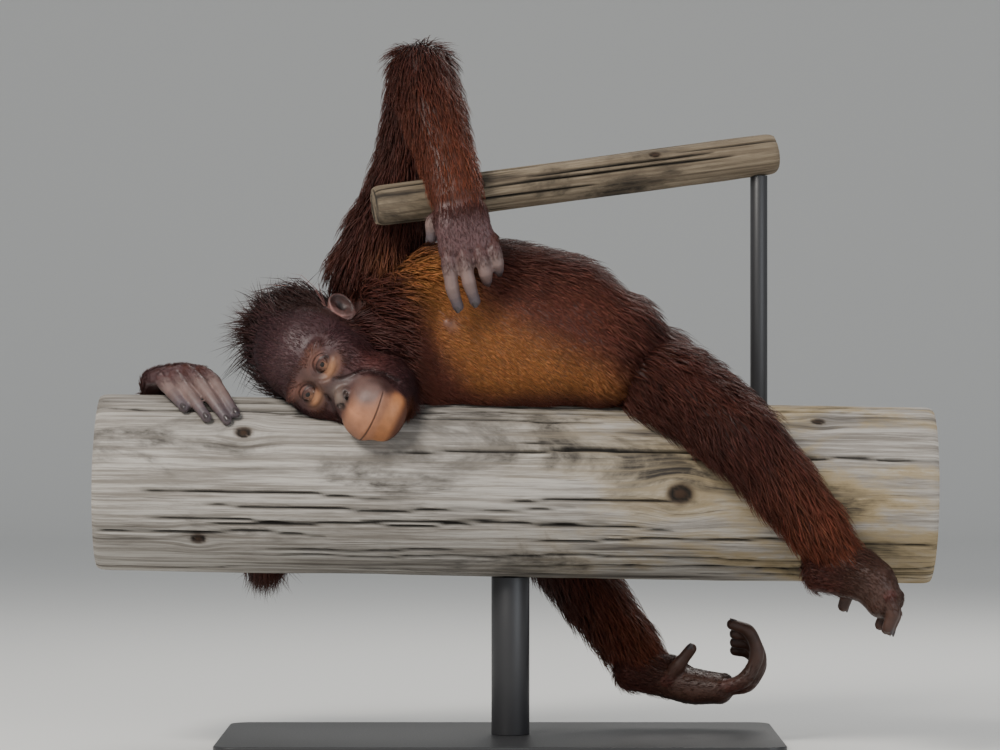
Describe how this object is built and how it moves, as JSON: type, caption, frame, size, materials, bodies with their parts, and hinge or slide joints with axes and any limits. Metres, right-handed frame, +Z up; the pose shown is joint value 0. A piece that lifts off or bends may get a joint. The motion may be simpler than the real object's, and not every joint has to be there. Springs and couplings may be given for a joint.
{
  "type": "orangutan",
  "caption": "Life-size still model of a young orangutan lying along a round log, one long arm hung over a thin beam, on a plain display stand.",
  "frame": {"origin": "on the ground, under the middle of the stand's base", "axes": "+Z up, +X along the log towards the animal's feet, +Y away from the side that its face and belly are turned to"},
  "size_m": [0.9582, 0.3988, 0.8174],
  "materials": {
    "coat": "long, coarse, dark red-brown hair in overlapping locks",
    "belly_coat": "short flat hair, warm orange-brown on the belly and dark red-brown on the flank and back",
    "face_skin": "matt, finely creased bare skin, dark maroon-brown, paler around the eyes and mouth",
    "hand_skin": "matt, finely wrinkled greyish-pink skin with dark nails",
    "foot_skin": "matt, dark brown wrinkled skin with dark nails",
    "eye": "wet gloss, dark brown iris",
    "log_wood": "bare weathered grey softwood with drying cracks and knots",
    "beam_wood": "bare dark weathered wood",
    "stand_paint": "satin dark grey paint"
  },
  "bodies": {
    "root": {"perch_log": "log_wood", "perch_beam": "beam_wood", "stand_base": "stand_paint", "stand_rod_log": "stand_paint", "stand_rod_beam": "stand_paint", "eye_left": "eye", "eye_right": "eye", "ear_left": "face_skin", "ear_right": "face_skin", "head": "face_skin", "hand_left": "hand_skin", "hand_right": "hand_skin", "foot_left": "foot_skin", "foot_right": "foot_skin", "torso": "belly_coat", "neck": "coat", "arm_left_upper": "coat", "arm_left_fore": "coat", "arm_right_upper": "coat", "arm_right_fore": "coat", "thigh_left": "coat", "shin_left": "coat", "thigh_right": "coat", "shin_right": "coat"}
  },
  "joints": []
}
